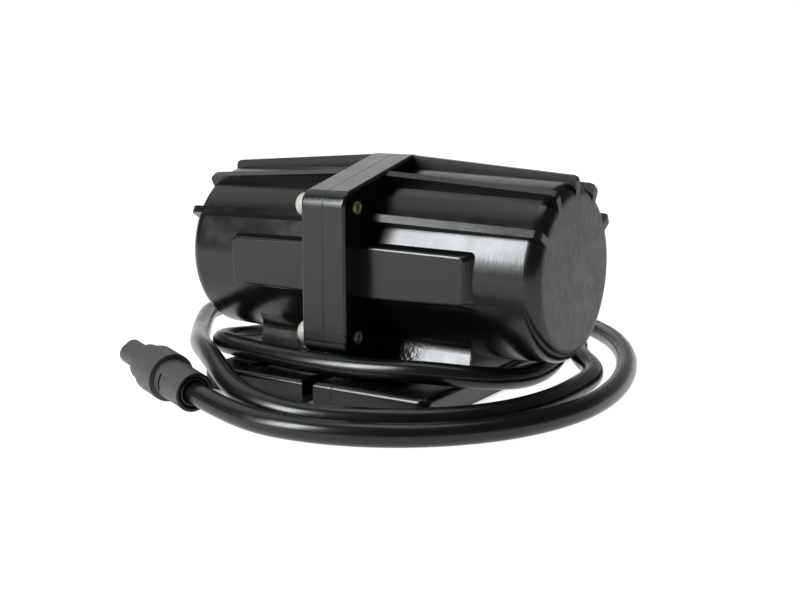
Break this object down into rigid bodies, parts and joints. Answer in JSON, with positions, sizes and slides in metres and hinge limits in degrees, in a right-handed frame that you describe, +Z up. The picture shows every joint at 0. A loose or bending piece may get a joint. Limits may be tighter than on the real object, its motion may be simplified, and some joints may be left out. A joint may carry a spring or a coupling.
{
  "type": "vibration motor",
  "caption": "Sealed low-voltage vibration motor: two finned drum castings bolted at a square flange, foot-mounted, eccentric weights inside, coiled supply cable with a moulded plug.",
  "frame": {"origin": "centre of the feet's outline, on their underside", "axes": "+X along the rotor's axis towards the half with the bare screw ends, +Y towards the side where the cable leaves, +Z up"},
  "size_m": [0.2893, 0.2863, 0.1068],
  "materials": {
    "casting": "die cast, semi-gloss black powder coat",
    "gasket": "satin",
    "zinc_steel": "zinc plated",
    "white_nylon": "warm white, semi-gloss",
    "mild_steel": "ground",
    "ferrite": "matt dark grey",
    "bearing_steel": "polished",
    "copper": "bare and enamelled copper",
    "weight_iron": "as cast",
    "phenolic": "brown laminate",
    "brass": "bright",
    "carbon": "matt carbon",
    "black_rubber": "satin",
    "cable_jacket": "glossy black"
  },
  "bodies": {
    "housing": {"right_housing": "casting", "left_housing": "casting", "flange_gasket": "gasket", "flange_screws": "zinc_steel", "screw_caps": "white_nylon", "stator_ring": "mild_steel", "magnets": "ferrite", "left_bearing_outer_race": "bearing_steel", "left_bearing_balls": "bearing_steel", "right_bearing_outer_race": "bearing_steel", "right_bearing_balls": "bearing_steel", "brush_plate": "phenolic", "upper_brush_holder": "brass", "upper_brush": "carbon", "upper_brush_spring": "bearing_steel", "lower_brush_holder": "brass", "lower_brush": "carbon", "lower_brush_spring": "bearing_steel", "cable_gland": "black_rubber", "cable": "cable_jacket", "plug_body": "black_rubber", "plug_pin": "brass"},
    "rotor": {"rotor_shaft": "mild_steel", "armature_core": "mild_steel", "armature_winding": "copper", "commutator": "copper", "left_weight": "weight_iron", "right_weight": "weight_iron", "weight_screws": "zinc_steel", "left_bearing_inner_race": "bearing_steel", "right_bearing_inner_race": "bearing_steel"}
  },
  "joints": [
    {"name": "rotor_spin", "type": "hinge", "parent": "housing", "child": "rotor", "pos_m": [0, 0, 0.057], "axis": [1, 0, 0], "continuous": true}
  ]
}
